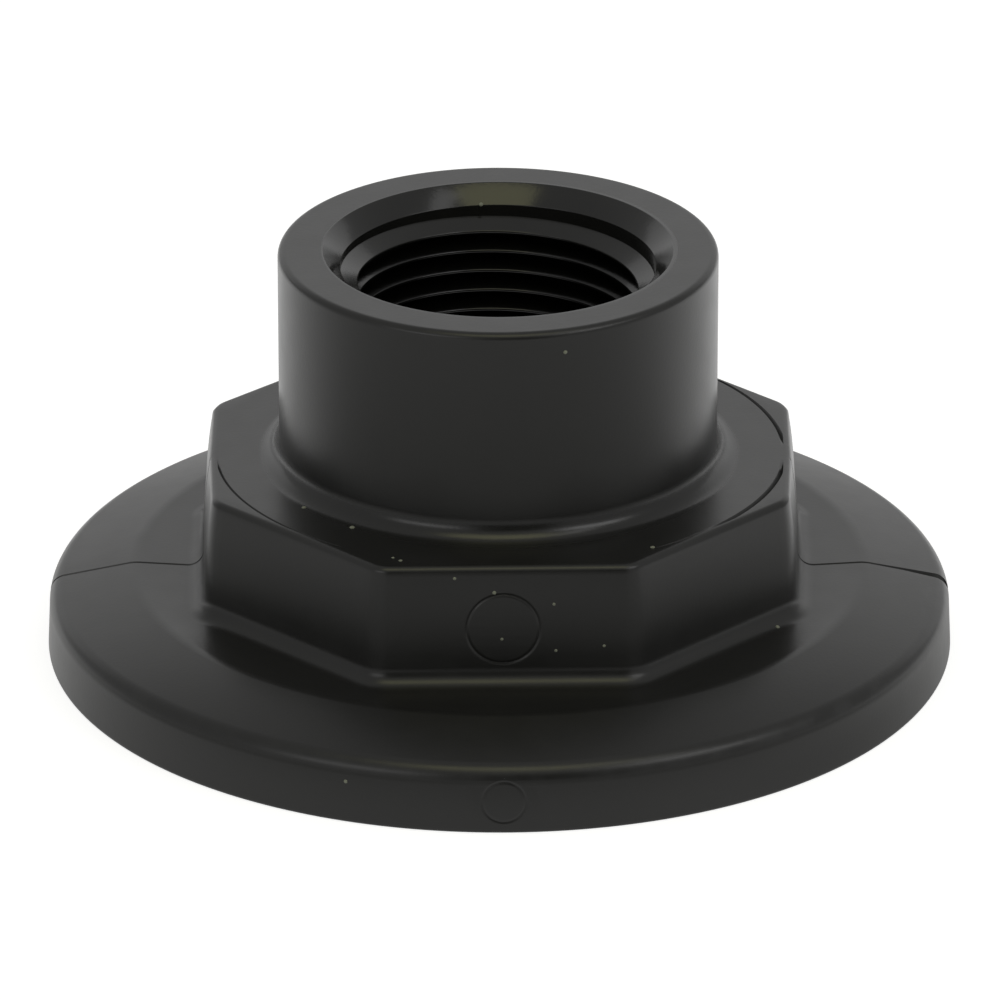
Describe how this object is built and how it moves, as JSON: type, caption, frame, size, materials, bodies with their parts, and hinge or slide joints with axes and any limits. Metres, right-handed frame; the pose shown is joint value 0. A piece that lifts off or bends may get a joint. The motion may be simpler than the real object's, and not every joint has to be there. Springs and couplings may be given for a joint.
{
  "type": "flange plug",
  "caption": "Round black plastic flange with a coned clamping face, an octagonal wrench hub and a round boss with a taper pipe-thread port through it.",
  "frame": {"origin": "centre of the flange's underside, on the plane that the flange rests on", "axes": "+Z along the port's axis, from the flange to the boss; the octagon's flats face +X, -X, +Y and -Y, and -Y is the front"},
  "size_m": [0.096, 0.096, 0.0448],
  "materials": {
    "moulded_black": "satin black glass-filled polypropylene, as moulded"
  },
  "bodies": {
    "root": {"plug_body": "moulded_black"}
  },
  "joints": []
}
